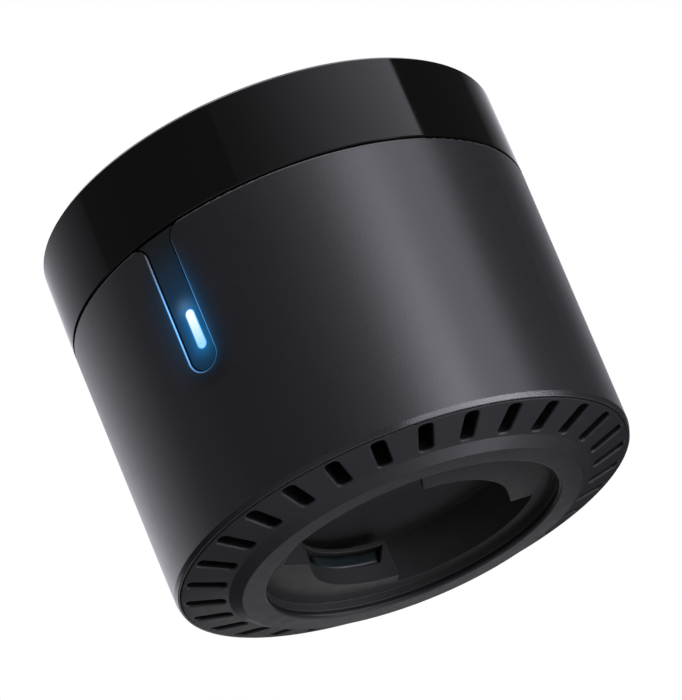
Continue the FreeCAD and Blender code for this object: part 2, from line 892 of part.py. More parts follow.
def make_screws(label, hole_circle, first_angle, level):
    """Pan-head screws with a cross slot, heads on the board."""
    screws = []
    for number in range(int(value("screw_count"))):
        name = f"{label}_{number + 1}"
        across, along = polar(hole_circle, f"({first_angle} + {number} * 360 / screw_count)")
        foot = (across, along, f"{level} - screw_length")
        shank = rod(name + "_shank", "screw_radius", "screw_length + root_embed", foot, keep=False)
        head = rod(name + "_head", "screw_head", "head_height", (across, along, level), keep=False)
        solid = joined(name + "_solid", [shank, head], keep=False)
        cross = (("cross_reach", "screw_slot / 2"), ("screw_slot / 2", "cross_reach"))
        for side, (reach, narrow) in enumerate(cross):
            slot = block(f"{name}_slot_{side}", (
                f"{across} - {reach}", f"{along} - {narrow}", f"{level} + head_height / 2"), (
                f"{across} + {reach}", f"{along} + {narrow}", f"{level} + head_height * 2"), keep=False)
            solid = cut(f"{name}_cut_{side}", solid, slot, keep=False)
        screws.append(solid)
    grouped(label, screws)


# Parts on the main board


def on_board(label, base=BOARD_TOP, keep=True):
    """A block of the sizes listed under its name, on a board."""
    across, along, width, depth, height = (f"{label}_{size_name}" for size_name in BLOCK_SIZES)
    return block(label, (
        f"{across} - {width} / 2", f"{along} - {depth} / 2", base), (
        f"{across} + {width} / 2", f"{along} + {depth} / 2", f"{base} + {height}"), keep)


def make_main_board_parts():
    on_board("wifi_board")
    module_top = f"({BOARD_TOP} + wifi_board_height)"
    on_board("wifi_chip", module_top)
    outside = on_board("shield_outside", module_top, keep=False)
    inside = on_board("shield_inside", module_top, keep=False)
    cut("shield_can", outside, inside)
    on_board("flash_chip")
    on_board("crystal")
    joined("regulator", [on_board("regulator_body", keep=False), on_board("regulator_tab", keep=False)])
    make_inductor()
    stand = on_board("capacitor_stand", keep=False)
    can = rod("capacitor_can", "capacitor_radius", "capacitor_length", (
        "capacitor_stand_across", "capacitor_stand_along", BOARD_TOP), keep=False)
    joined("capacitor", [stand, can])
    # The status light, under the middle of the light guide's stem
    middle = "-(guide_back + strip_back) / 2"
    block("status_led", (
        "light_across - status_led_width / 2", f"{middle} - status_led_depth / 2", BOARD_TOP), (
        "light_across + status_led_width / 2", f"{middle} + status_led_depth / 2",
        f"{BOARD_TOP} + status_led_height"))


def make_inductor():
    """A block with rounded upright edges."""
    coil = on_board("inductor_block", keep=False)
    rounded = doc.addObject("Part::Fillet", "inductor")
    rounded.Base = coil
    doc.recompute()
    corner = value("inductor_corner")
    upright = []
    for index, edge in enumerate(coil.Shape.Edges, start=1):
        if abs(edge.tangentAt(edge.FirstParameter).z) > 1 - NEAR:
            upright.append((index, corner, corner))
    rounded.Edges = upright
    finish_solid(rounded, "inductor", True)


# Power inlet


def make_usb_socket():
    """A small D-shaped metal shell, open at the mouth, with its contact tongue."""
    usb = new_body("usb_socket")
    low = BOARD_TOP
    high = f"({BOARD_TOP} + usb_height)"

    def d_shape(inset):
        foot_half = f"(usb_half - usb_taper - {inset})"
        half = f"(usb_half - {inset})"
        knee = f"({low} + usb_knee)"
        return [
            (f"-{foot_half}", f"{low} + {inset}"),
            (foot_half, f"{low} + {inset}"),
            (half, knee),
            (half, f"{high} - {inset}"),
            (f"-{half}", f"{high} - {inset}"),
            (f"-{half}", knee),
        ]

    pad(usb, new_sketch(usb, "XZ_Plane", "-usb_front", d_shape("0")), "usb_front - usb_back")
    hollow = new_sketch(usb, "XZ_Plane", "-usb_front", d_shape("usb_sheet"))
    pocket(usb, hollow, "usb_front - usb_back - usb_end")
    tongue_top = f"({high} - usb_sheet - tongue_drop)"
    tongue_foot = f"({tongue_top} - tongue_height)"
    block("usb_tongue", (
        "-tongue_half", "usb_back + usb_end", tongue_foot), (
        "tongue_half", "usb_front - usb_end", tongue_top))
    contacts = []
    count = int(value("contact_count"))
    for number in range(count):
        across = f"{number - (count - 1) / 2} * contact_pitch"
        contacts.append(block(f"contact_{number + 1}", (
            f"{across} - contact_half", "usb_back + usb_end", f"{tongue_foot} - contact_height"), (
            f"{across} + contact_half", "usb_front - contact_end", tongue_foot), keep=False))
    grouped("usb_contacts", contacts)


# Riser board, reset switch and button


def make_riser_and_reset():
    block("riser_board", ("-riser_half", "riser_front", BOARD_TOP), (
        "riser_half", "riser_front + board_thickness", "boss_top"))
    drivers = []
    count = int(value("driver_count"))
    for number in range(count):
        across = f"{number - (count - 1) / 2} * driver_pitch"
        drivers.append(block(f"driver_{number + 1}", (
            f"{across} - driver_half", "riser_front - driver_depth", "driver_low"), (
            f"{across} + driver_half", "riser_front", "driver_high"), keep=False))
    grouped("driver_transistors", drivers)
    body = block("switch_block", (
        "-switch_half", "riser_front + board_thickness", "reset_level - switch_half"), (
        "switch_half", "switch_front", "reset_level + switch_half"), keep=False)
    bore = rod("switch_bore", "plunger_bore", "switch_front - plunger_floor + cut_past", (
        "0", "plunger_floor", "reset_level"), (0, 1, 0), keep=False)
    cut("reset_switch", body, bore)
    rod("switch_plunger", "plunger_radius", "flange_back - plunger_back", (
        "0", "plunger_back", "reset_level"), (0, 1, 0))
    button = new_body("reset_button")
    flange = new_sketch(button, "XZ_Plane", "-flange_back")
    circle(flange, "0", "reset_level", "reset_flange")
    pad(button, flange, "flange_front - flange_back", back=True)
    shaft = new_sketch(button, "XZ_Plane", "-flange_front")
    circle(shaft, "0", "reset_level", "reset_radius")
    pad(button, shaft, "reset_end - flange_front", back=True)
    tip = []
    for index, edge in enumerate(button.Tip.Shape.Edges, start=1):
        if abs(edge.valueAt(edge.FirstParameter).y - value("reset_end")) < NEAR:
            tip.append(f"Edge{index}")
    soften(button, "Fillet", "ring_round", tip)


# Infrared emitters and receiver


def make_emitter(number):
    """A round-nosed emitter that points outwards, with its two bent leads."""
    angle = 360 / value("emitter_count") * (number - 1)
    name = f"ir_led_{number}"
    east = (1, 0, 0)
    middle = ("0", "emitter_level")
    parts = [
        rod(name + "_flange", "emitter_flange", "emitter_rim", ("emitter_back", *middle), east, keep=False),
        rod(name + "_body", "emitter_body", "emitter_front - emitter_back", (
            "emitter_back", *middle), east, keep=False),
        ball(name + "_nose", "emitter_body", ("emitter_front", *middle)),
    ]
    for side in ("-", ""):
        lead = f"{side}lead_pitch"
        parts.append(block(f"{name}_out{side}", (
            "emitter_back - lead_back", f"{lead} - lead_half", "emitter_level - lead_half"), (
            "emitter_back", f"{lead} + lead_half", "emitter_level + lead_half"), keep=False))
        parts.append(block(f"{name}_down{side}", (
            "emitter_back - lead_back", f"{lead} - lead_half", EMITTER_TOP), (
            "emitter_back - lead_back + 2 * lead_half", f"{lead} + lead_half", "emitter_level"), keep=False))
    emitter = joined(name, parts)
    emitter.Placement = FreeCAD.Placement(
        FreeCAD.Vector(), FreeCAD.Rotation(FreeCAD.Vector(0, 0, 1), angle))


def make_emitters():
    for number in range(1, int(value("emitter_count")) + 1):
        make_emitter(number)
    # Ring with a saddle under each emitter
    carrier = new_body("led_carrier")
    turned(carrier, [
        ("carrier_inner", EMITTER_TOP),
        ("carrier_outer", EMITTER_TOP),
        ("carrier_outer", "emitter_level"),
        ("carrier_inner", "emitter_level"),
    ])
    saddle = new_sketch(carrier, "YZ_Plane", "carrier_inner - cut_past")
    circle(saddle, "0", "emitter_level", "emitter_body + saddle_play")
    cut_saddle = pocket(carrier, saddle, "carrier_outer - carrier_inner + 2 * cut_past")
    around(carrier, [cut_saddle], "emitter_count")
    # Gap in front for the receiver
    gap = box_corners("-receiver_gap", "receiver_gap", EMITTER_TOP, "emitter_level")
    pocket(carrier, new_sketch(carrier, "XZ_Plane", "carrier_inner - cut_past", gap), "carrier_outer")
    make_top_emitter()
    # Receiver with its lens to the front
    joined("ir_receiver", [
        on_board("receiver_block", EMITTER_TOP, keep=False),
        ball("receiver_nose", "receiver_lens", ("0", "lens_along", f"{EMITTER_TOP} + lens_height")),
    ])


def make_top_emitter():
    """One small emitter that points up."""
    seat = f"({EMITTER_TOP} + top_led_stand)"
    leads = []
    for side in ("-", ""):
        leads.append(block(f"ir_led_top_lead{side}", (
            f"{side}lead_pitch - lead_half", "-lead_half", EMITTER_TOP), (
            f"{side}lead_pitch + lead_half", "lead_half", f"{seat} + lead_half"), keep=False))
    joined("ir_led_top", leads + [
        rod("ir_led_top_flange", "top_led_flange", "top_led_rim", ("0", "0", seat), keep=False),
        rod("ir_led_top_body", "top_led_radius", "top_led_length", ("0", "0", seat), keep=False),
        ball("ir_led_top_nose", "top_led_radius", ("0", "0", f"{seat} + top_led_length")),
    ])


make_body_shell()
make_top_cap()
make_slot_insert()
make_light_guide()
make_base_plate()
make_bayonet_socket()
make_grip_strip("grip_strip_right", 0)
make_grip_strip("grip_strip_left", 180)
make_board("main_board", "board_level", "board_radius", "standoff_circle", "standoff_turn")
make_screws("board_screws", "standoff_circle", "standoff_turn", BOARD_TOP)
make_main_board_parts()
make_usb_socket()
make_riser_and_reset()
make_board("emitter_board", "boss_top", "emitter_radius", "boss_circle", "boss_turn")
make_screws("emitter_screws", "boss_circle", "boss_turn", EMITTER_TOP)
make_emitters()

doc.recompute()

# Nothing is written unless every object is sound
for item in doc.Objects:
    if "Invalid" in item.State or "Error" in item.State:
        raise RuntimeError(f"{item.Label} failed: {item.State}")
for node in nodes:
    if node.Shape.isNull() or not node.Shape.isValid():
        raise RuntimeError(f"{node.Label} has no sound shape")

os.makedirs("parts", exist_ok=True)
for node in nodes:
    node.Shape.exportStep(f"parts/{node.Label}.step")
    print(f"{node.Label:20s} solids {len(node.Shape.Solids)} volume {node.Shape.Volume:9.2f}")
print(len(nodes), "nodes")
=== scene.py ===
import json
import math

import bpy
from mathutils import Matrix, Vector

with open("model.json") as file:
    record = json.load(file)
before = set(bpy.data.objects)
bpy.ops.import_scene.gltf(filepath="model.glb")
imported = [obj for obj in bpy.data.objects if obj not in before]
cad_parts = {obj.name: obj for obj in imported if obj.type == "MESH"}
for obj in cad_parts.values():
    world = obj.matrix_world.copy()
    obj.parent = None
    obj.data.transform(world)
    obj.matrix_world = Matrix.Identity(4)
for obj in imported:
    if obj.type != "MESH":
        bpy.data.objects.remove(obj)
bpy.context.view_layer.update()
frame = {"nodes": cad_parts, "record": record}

# The photograph's camera. The sensor and the lens are in millimetres, and places in metres
SENSOR = 36.0
LENS = 187.51
CAMERA_PLACE = Vector((0.16749, -0.30091, -0.12369))
CAMERA_TARGET = Vector((0.000556, 0.000309, 0.022297))
CAMERA_ROLL = math.radians(-22.69)
CAMERA_NEAR = 0.01

# Places on the object that materials work from, in metres:
# the ends of the light's centre line, its offset to the right, and half the light's width
PILL_ACROSS = 0.0004
PILL_FOOT = 0.01945
PILL_TOP = 0.0227
PILL_HALF = 0.0005
# half the slot's width, and the lowest level of its round foot
SLOT_HALF = 0.00162
SLOT_FOOT = 0.0167
# the middle of the haze above the light
HAZE_ACROSS = 0.0001
HAZE_LEVEL = 0.0237
# the shell's outer surface, from the top of its rim band to the seam
SEAM_LEVEL = 0.03192
RIM_TOP = 0.00285
TOP_RADIUS = 0.025
FOOT_RADIUS = 0.0245
# where the base's sloping face begins, and its slope
RING_ROOT = 0.01945
RING_HEIGHT = 0.000865
VENT_SLOPE = math.radians(16.48)
# the front of the shell, which holds the slot
FRONT_START = -0.015
FRONT_FULL = -0.02
# depths under the shell's surface, between which the gap round the strip turns dark with painted shade
GAP_START = 0.0001
GAP_FULL = 0.00018

# Grain of the plastics, as noise scales, and as bump heights and an edge radius in metres
SPARK_SCALE = 5200.0
UNEVEN_SCALE = 700.0
SPARK_HEIGHT = 0.00003
WAVE_HEIGHT = 0.00002
FAINT_HEIGHT = 0.00001
EDGE_RADIUS = 0.00012
EDGE_SAMPLES = 6
EDGE_COSINES = (0.999, 0.93)
PLASTIC_IOR = 1.5


# Colours


def rgb(red, green, blue):
    return (red, green, blue, 1.0)


def grey(level, tint=0.0):
    """A grey, bluer where the tint is above 0."""
    return rgb(level, level, level * (1.0 + tint))


BLACK = rgb(0.0, 0.0, 0.0)
WHITE = rgb(1.0, 1.0, 1.0)
SHELL_DARK = rgb(0.021, 0.021, 0.0235)
SHELL_LIGHT = rgb(0.032, 0.032, 0.0355)
# Painted highlight along the shell's edges and the slot's lips
SHELL_HIGHLIGHT = grey(0.3, 0.04)
# Painted darker colour where the painted blue light falls beside the slot
SHELL_NEAR_SLOT = rgb(0.002, 0.006, 0.008)
# Painted shade in the gap round the strip
GAP_SHADE = grey(0.004)
# Lighter edges of moulded parts: part wear, part painted highlight
EDGE_WEAR_AND_HIGHLIGHT = grey(0.12)
# Painted shade inside the vents
PAINTED_SHADE = grey(0.008)
DUST = grey(0.3)
STRIP_DARK = rgb(0.022, 0.023, 0.018)
STRIP_LIGHT = rgb(0.032, 0.033, 0.026)
STRIP_FOOT = rgb(0.002, 0.003, 0.003)
SPILLED_BLUE = rgb(0.06, 0.42, 1.0)
STRIP_BLUE = rgb(0.03, 0.40, 1.0)
HAZE_BLUE = rgb(0.55, 0.75, 1.0)
GUIDE_FOOT = rgb(0.22, 0.60, 0.93)
GUIDE_TOP = rgb(0.93, 0.96, 0.97)
GUIDE_RIM = rgb(0.08, 0.42, 0.95)
GUIDE_BODY = rgb(0.6, 0.75, 0.9)
MASK_DARK = rgb(0.008, 0.055, 0.028)
MASK_LIGHT = rgb(0.014, 0.085, 0.04)
MASK_ON_COPPER = rgb(0.05, 0.19, 0.07)
LED_DARK = rgb(0.7, 0.75, 0.7)
LED_LIGHT = rgb(0.85, 0.9, 0.8)
LED_BLUE = rgb(0.4, 0.75, 1.0)
STUDIO_WHITE = rgb(1.0, 0.98, 1.09)


# Node helpers


class Nodes:
    """Builds one node tree with short calls."""

    def __init__(self, tree):
        self.tree = tree
        tree.nodes.clear()

    def add(self, kind, inputs=None, **settings):
        """Adds a node, sets its properties, and fills or links its inputs."""
        node = self.tree.nodes.new(kind)
        for name, value in settings.items():
            setattr(node, name, value)
        for name, value in (inputs or {}).items():
            self.fill(node.inputs[name], value)
        return node

    def fill(self, socket, value):
        """Links a socket to another one, or sets it to a constant."""
        if isinstance(value, bpy.types.NodeSocket):
            self.tree.links.new(value, socket)
        else:
            socket.default_value = value

    def math(self, operation, a, b=0.0):
        return self.add("ShaderNodeMath", {0: a, 1: b}, operation=operation).outputs[0]

    def plus(self, first, *others):
        """The sum of two or more values."""
        for other in others:
            first = self.math("ADD", first, other)
        return first

    def minus(self, a, b):
        return self.math("SUBTRACT", a, b)

    def times(self, first, *others):
        """The product of two or more values."""
        for other in others:
            first = self.math("MULTIPLY", first, other)
        return first

    def length(self, a, b):
        """The length of a flat vector with these two parts."""
        return self.math("SQRT", self.plus(self.times(a, a), self.times(b, b)))

    def ramp(self, value, low, high, to_low=0.0, to_high=1.0, smooth=True):
        """Maps a value from one range to another, clamped."""
        node = self.add(
            "ShaderNodeMapRange",
            {"Value": value, "From Min": low, "From Max": high, "To Min": to_low, "To Max": to_high},
            interpolation_type="SMOOTHSTEP" if smooth else "LINEAR",
        )
        return node.outputs["Result"]

    def noise(self, place, scale, detail=2.0, roughness=0.5):
        node = self.add(
            "ShaderNodeTexNoise",
            {"Vector": place, "Scale": scale, "Detail": detail, "Roughness": roughness},
        )
        return node.outputs["Fac"]

    def spark(self, place):
        """The fine grain of spark-textured plastic."""
        return self.noise(place, SPARK_SCALE, detail=2.0, roughness=0.6)

    def uneven(self, place, low, high):
        """A roughness that drifts between two values."""
        return self.ramp(self.noise(place, UNEVEN_SCALE, detail=3.0), 0.2, 0.8, low, high)

    def mix(self, factor, a, b, blend="MIX"):
        node = self.add("ShaderNodeMix", data_type="RGBA", blend_type=blend)
        self.fill(node.inputs["Factor"], factor)
        self.fill(node.inputs["A"], a)
        self.fill(node.inputs["B"], b)
        return node.outputs["Result"]

    def bump(self, height, distance, strength, normal=None):
        """A normal bumped by a height map, whose full height is the distance."""
        inputs = {"Height": height, "Distance": distance, "Strength": strength}
        if normal is not None:
            inputs["Normal"] = normal
        return self.add("ShaderNodeBump", inputs).outputs[0]

    def place(self):
        """The point's own coordinates on the object, in metres."""
        return self.add("ShaderNodeTexCoord").outputs["Object"]

    def split(self, vector):
        return self.add("ShaderNodeSeparateXYZ", {"Vector": vector}).outputs

    def edge(self):
        """The rounded normal of edges, and a mask that is 1 on them and 0 on flats."""
        rounded = self.add("ShaderNodeBevel", {"Radius": EDGE_RADIUS}, samples=EDGE_SAMPLES).outputs[0]
        normal = self.add("ShaderNodeNewGeometry").outputs["Normal"]
        same = self.add("ShaderNodeVectorMath", {0: rounded, 1: normal}, operation="DOT_PRODUCT")
        return rounded, self.ramp(same.outputs["Value"], *EDGE_COSINES)


def new_material(name):
    material = bpy.data.materials.new(name)
    material.use_nodes = True
    return material, Nodes(material.node_tree)


def finish_material(nodes, **inputs):
    """Ends a tree in one glossy shader. Each keyword is the name of a socket, with _ for a space."""
    names = {key.replace("_", " "): value for key, value in inputs.items()}
    shader = nodes.add("ShaderNodeBsdfPrincipled", names)
    nodes.add("ShaderNodeOutputMaterial", {"Surface": shader.outputs[0]})


# Distances that materials work from, in metres


def pill_distance(nodes, place):
    """Distance from the light's centre line."""
    x, _, z = nodes.split(place)
    nearest = nodes.math("MINIMUM", nodes.math("MAXIMUM", z, PILL_FOOT), PILL_TOP)
    return nodes.length(nodes.minus(x, PILL_ACROSS), nodes.minus(z, nearest))


def out_of_slot(nodes, x, z):
    """Distance outwards from the slot's edge."""
    down = nodes.math("MINIMUM", nodes.minus(z, SLOT_FOOT + SLOT_HALF), 0.0)
    return nodes.minus(nodes.length(x, down), SLOT_HALF)


def under_shell(nodes, x, y, z):
    """Depth below the shell's outer surface."""
    slope = (TOP_RADIUS - FOOT_RADIUS) / (SEAM_LEVEL - RIM_TOP)
    surface = nodes.plus(nodes.times(z, slope), FOOT_RADIUS - RIM_TOP * slope)
    return nodes.minus(surface, nodes.length(x, y))


def vent_depth(nodes, place):
    """Depth inside the base's sloping face."""
    x, y, z = nodes.split(place)
    face = nodes.times(nodes.minus(nodes.length(x, y), RING_ROOT), math.tan(VENT_SLOPE))
    return nodes.minus(nodes.minus(z, RING_HEIGHT), face)


# Blue light on the shell. A pair of distances or levels, in metres, is where something starts and where
# it is full, and a pair of widths or strengths is for the slot's left and right side
SLOT_SIDES = (-0.001, 0.001)
SPILL_FROM_ABOVE = (0.031, 0.0225)
SPILL_FROM_BELOW = (0.0152, 0.0205)
LINE_OUT = 0.00007
LINE_EDGE = (0.00013, 0.00004)
LINE_STRENGTHS = (1.25, 0.7)
HALO_WIDTHS = (0.00104, 0.00065)
HALO_STRENGTHS = (0.075, 0.16)


def fading(nodes, distance, length, power=1.0):
    """Falls from 1 towards 0 over a length, as a bell where the power is 2."""
    share = nodes.times(distance, 1.0 / length)
    return nodes.math("EXPONENT", nodes.times(nodes.math("POWER", share, power), -1.0))


def on_front(nodes, y):
    """1 on the side of the shell that holds the slot, and 0 on the rest."""
    return nodes.ramp(y, FRONT_START, FRONT_FULL)


def spilled_light(nodes, x, y, z):
    """Strength of the blue light on the shell: a thin line along the slot's lip, and a halo outside it."""
    out = out_of_slot(nodes, x, z)
    right = nodes.ramp(x, *SLOT_SIDES)
    off_line = nodes.math("ABSOLUTE", nodes.minus(out, LINE_OUT))
    line = nodes.times(nodes.ramp(off_line, *LINE_EDGE), nodes.ramp(right, 0.0, 1.0, *LINE_STRENGTHS))
    away = nodes.math("MAXIMUM", out, 0.0)
    left_halo, right_halo = (
        nodes.times(fading(nodes, away, width), strength)
        for width, strength in zip(HALO_WIDTHS, HALO_STRENGTHS))
    halo = nodes.plus(nodes.times(right, right_halo), nodes.times(nodes.minus(1.0, right), left_halo))
    reach = nodes.times(nodes.ramp(z, *SPILL_FROM_ABOVE), nodes.ramp(z, *SPILL_FROM_BELOW, smooth=False))
    open_to_view = nodes.ramp(under_shell(nodes, x, y, z), GAP_FULL, GAP_START)
    reach = nodes.times(reach, on_front(nodes, y), open_to_view)
    return nodes.times(nodes.plus(line, halo), reach)


# Plastics

# Depths in metres between which painted shade grows inside the vents, and its share at the end
PAINTED_SHADE_DEPTHS = (0.00012, 0.0004)
PAINTED_SHADE_SHARE = 0.8

# On the shell: distances out of the slot and levels for the painted darker area beside it, the painted
# highlight line along the slot's lips, the painted highlight under the seam, and the smoother band at the
# foot
SHADE_OUT = (0.0024, 0.0003)
SHADE_LEVELS = (0.03, 0.025)
SHADE_SHARE = 0.8
LIP_OUT = 0.00008
LIP_EDGE = (0.00014, 0.00004)
UNDER_SEAM = (0.00024, 0.00012)
CREASE_SHARE = 0.4
HIGHLIGHT_SHARE = 0.7
GAP_OUT = (0.0005, 0.0003)
BAND_EDGE = (0.00004, 0.00002)
BAND_SMOOTHER = 0.1
SHELL_ROUGHNESS = (0.285, 0.315)
SHELL_SPECULAR = 0.95

# On the strip: its dark foot, and the widths and strengths of the glow, its rim and the haze
FOOT_LEVELS = (0.029, 0.018)
FOOT_SHARE = 0.75
WIDE_GLOW = 0.004
WIDE_STRENGTH = 0.11
NEAR_GLOW = 0.00125
NEAR_STRENGTH = 0.23
PILL_RIM = (0.00016, 0.00004)
PILL_RIM_STRENGTH = 0.28
GLOW_LEVELS = (0.0316, 0.0275)
GLOW_SHARES = (0.25, 1.0)
HAZE_WIDTH = 0.00085
HAZE_STRENGTH = 0.075

# On the light guide: the share of its half width where the deep blue rim begins
GUIDE_RIM_START = 0.86


def moulded_plastic(name, dark, light, roughness, wear_and_highlight=0.3, depth_of=None):
    """Fine spark-textured plastic with a little tonal drift, soft edges, a lighter band along them that is
    part wear and part painted highlight, and painted shade deeper into openings.
    """
    material, nodes = new_material(name)
    place = nodes.place()
    fine = nodes.spark(place)
    drift = nodes.noise(place, scale=90.0, detail=3.0)
    tone = nodes.times(nodes.plus(fine, drift), 0.5)
    colour = nodes.mix(nodes.ramp(tone, 0.3, 0.7), dark, light)
    rounded, edges = nodes.edge()
    # Lighter along edges: part wear, part painted highlight
    worn_and_highlit = nodes.mix(nodes.times(edges, wear_and_highlight), colour, EDGE_WEAR_AND_HIGHLIGHT)
    if depth_of:
        # Painted shade: darker further into an opening
        painted_shade = nodes.ramp(depth_of(nodes, place), *PAINTED_SHADE_DEPTHS, to_high=PAINTED_SHADE_SHARE)
        worn_and_highlit = nodes.mix(painted_shade, worn_and_highlit, PAINTED_SHADE)
    finish_material(
        nodes, Base_Color=worn_and_highlit, Roughness=nodes.uneven(place, roughness - 0.05, roughness + 0.05),
        Normal=nodes.bump(fine, SPARK_HEIGHT, strength=0.4, normal=rounded), IOR=PLASTIC_IOR)
    return material


def gloss_plastic(name, colour, roughness=0.04):
    """Polished plastic with faint waviness, hairline wipe marks and a little dust."""
    material, nodes = new_material(name)
    place = nodes.place()
    wave = nodes.noise(place, scale=45.0, detail=1.0)
    wiped = nodes.noise(place, scale=260.0, detail=4.0, roughness=0.65)
    specks = nodes.ramp(nodes.noise(place, scale=2600.0, detail=1.0), 0.74, 0.8)
    rough = nodes.ramp(wiped, 0.3, 0.7, roughness, roughness + 0.035)
    finish_material(
        nodes, Base_Color=nodes.mix(nodes.times(specks, 0.03), colour, DUST),
        Roughness=nodes.plus(rough, nodes.times(specks, 0.08)),
        Normal=nodes.bump(wave, WAVE_HEIGHT, strength=0.25), IOR=PLASTIC_IOR)
    return material


def shell_plastic():
    """The shell's satin plastic, a smoother rim band at its foot, and blue light spilled round the slot."""
    material, nodes = new_material("shell_plastic")
    place = nodes.place()
    x, y, z = nodes.split(place)
    front = on_front(nodes, y)
    out = out_of_slot(nodes, x, z)
    fine = nodes.spark(place)
    drift = nodes.noise(place, scale=60.0, detail=3.0)
    tone = nodes.plus(nodes.times(fine, 0.7), nodes.times(drift, 0.3))
    colour = nodes.mix(nodes.ramp(tone, 0.35, 0.65), SHELL_DARK, SHELL_LIGHT)
    # Painted into the colour: plainer and darker where the painted blue light falls, so that this light
    # looks bluer
    near_slot = nodes.times(nodes.ramp(out, *SHADE_OUT), front, nodes.ramp(z, *SHADE_LEVELS))
    colour = nodes.mix(nodes.times(near_slot, SHADE_SHARE), colour, SHELL_NEAR_SLOT)
    # Painted highlight: lighter along creases, the rounded top edge and the slot's lips
    rounded, edges = nodes.edge()
    off_lip = nodes.math("ABSOLUTE", nodes.minus(out, LIP_OUT))
    lip = nodes.times(nodes.ramp(off_lip, *LIP_EDGE), front)
    top = nodes.ramp(z, *(SEAM_LEVEL - drop for drop in UNDER_SEAM))
    painted_highlight = nodes.math("MAXIMUM", nodes.times(edges, CREASE_SHARE), nodes.math("MAXIMUM", lip, top))
    colour = nodes.mix(nodes.times(painted_highlight, HIGHLIGHT_SHARE), colour, SHELL_HIGHLIGHT)
    # Painted shade: black in the gap between the slot's sides and the strip
    in_gap = nodes.ramp(under_shell(nodes, x, y, z), GAP_START, GAP_FULL)
    in_gap = nodes.times(in_gap, front, nodes.ramp(out, *GAP_OUT))
    colour = nodes.mix(in_gap, colour, GAP_SHADE)
    band = nodes.ramp(z, RIM_TOP + BAND_EDGE[0], RIM_TOP - BAND_EDGE[1])
    rough = nodes.uneven(place, *SHELL_ROUGHNESS)
    finish_material(
        nodes, Base_Color=colour, Roughness=nodes.minus(rough, nodes.times(band, BAND_SMOOTHER)),
        Normal=nodes.bump(fine, SPARK_HEIGHT, strength=0.3, normal=rounded), IOR=PLASTIC_IOR,
        Specular_IOR_Level=SHELL_SPECULAR,
        Emission_Color=SPILLED_BLUE, Emission_Strength=spilled_light(nodes, x, y, z))
    return material


def strip_plastic():
    """Dark translucent strip that glows blue round the light, with a pale haze above it."""
    material, nodes = new_material("strip_plastic")
    place = nodes.place()
    x, _, z = nodes.split(place)
    fine = nodes.noise(place, scale=4200.0)
    colour = nodes.mix(fine, STRIP_DARK, STRIP_LIGHT)
    colour = nodes.mix(nodes.ramp(z, *FOOT_LEVELS, to_high=FOOT_SHARE), colour, STRIP_FOOT)
    away = pill_distance(nodes, place)
    wide = nodes.times(fading(nodes, away, WIDE_GLOW), WIDE_STRENGTH)
    near = nodes.times(fading(nodes, away, NEAR_GLOW, power=2.0), NEAR_STRENGTH)
    rim = nodes.ramp(away, *(PILL_HALF + reach for reach in PILL_RIM), to_high=PILL_RIM_STRENGTH)
    glow = nodes.times(nodes.plus(wide, near, rim), nodes.ramp(z, *GLOW_LEVELS, *GLOW_SHARES))
    from_haze = nodes.length(nodes.minus(x, HAZE_ACROSS), nodes.minus(z, HAZE_LEVEL))
    haze = nodes.times(fading(nodes, from_haze, HAZE_WIDTH, power=2.0), HAZE_STRENGTH)
    blue = nodes.mix(glow, BLACK, STRIP_BLUE)
    pale = nodes.mix(haze, BLACK, HAZE_BLUE)
    finish_material(
        nodes, Base_Color=colour, Roughness=nodes.ramp(fine, 0.3, 0.7, 0.28, 0.36),
        Normal=nodes.bump(fine, FAINT_HEIGHT, strength=0.3), IOR=PLASTIC_IOR,
        Emission_Color=nodes.mix(1.0, blue, pale, blend="ADD"), Emission_Strength=1.0)
    return material


def light_plastic():
    """Clear guide lit from behind: white at its top, light blue below, and deep blue at its edge."""
    material, nodes = new_material("light_plastic")
    place = nodes.place()
    _, _, z = nodes.split(place)
    core = nodes.mix(nodes.ramp(z, PILL_FOOT, PILL_TOP, smooth=False), GUIDE_FOOT, GUIDE_TOP)
    rim = nodes.ramp(pill_distance(nodes, place), PILL_HALF * GUIDE_RIM_START, PILL_HALF)
    cloud = nodes.noise(place, scale=1400.0)
    finish_material(
        nodes, Base_Color=GUIDE_BODY, Roughness=nodes.ramp(cloud, 0.2, 0.8, 0.12, 0.2), IOR=PLASTIC_IOR,
        Emission_Color=nodes.mix(rim, core, GUIDE_RIM),
        Emission_Strength=nodes.ramp(cloud, 0.2, 0.8, 0.92, 1.0))
    return material


def rubber(name, dark, light):
    """Smooth moulded rubber with a faint bloom."""
    material, nodes = new_material(name)
    place = nodes.place()
    bloom = nodes.noise(place, scale=500.0, detail=4.0, roughness=0.6)
    fine = nodes.noise(place, scale=3000.0)
    finish_material(
        nodes, Base_Color=nodes.mix(nodes.ramp(bloom, 0.3, 0.7), dark, light),
        Roughness=nodes.ramp(bloom, 0.3, 0.7, 0.28, 0.42),
        Normal=nodes.bump(fine, FAINT_HEIGHT, strength=0.3), IOR=PLASTIC_IOR)
    return material


# Electronics


def board_green():
    """Solder mask with copper tracks showing through and a faint weave below."""
    material, nodes = new_material("board_green")
    place = nodes.place()
    tracks = nodes.add("ShaderNodeTexBrick", {
        "Vector": place, "Scale": 260.0, "Mortar Size": 0.05,
        "Color1": BLACK, "Color2": BLACK, "Mortar": WHITE})
    patches = nodes.ramp(nodes.noise(place, scale=220.0, detail=1.0), 0.48, 0.52)
    copper = nodes.times(tracks.outputs["Fac"], patches)
    mask = nodes.mix(nodes.noise(place, scale=900.0), MASK_DARK, MASK_LIGHT)
    weave = nodes.add("ShaderNodeTexWave", {"Vector": place, "Scale": 900.0})
    height = nodes.plus(copper, nodes.times(weave.outputs["Fac"], 0.2))
    finish_material(
        nodes, Base_Color=nodes.mix(nodes.times(copper, 0.6), mask, MASK_ON_COPPER),
        Roughness=nodes.ramp(patches, 0.0, 1.0, 0.22, 0.3),
        Normal=nodes.bump(height, SPARK_HEIGHT, strength=0.4))
    return material


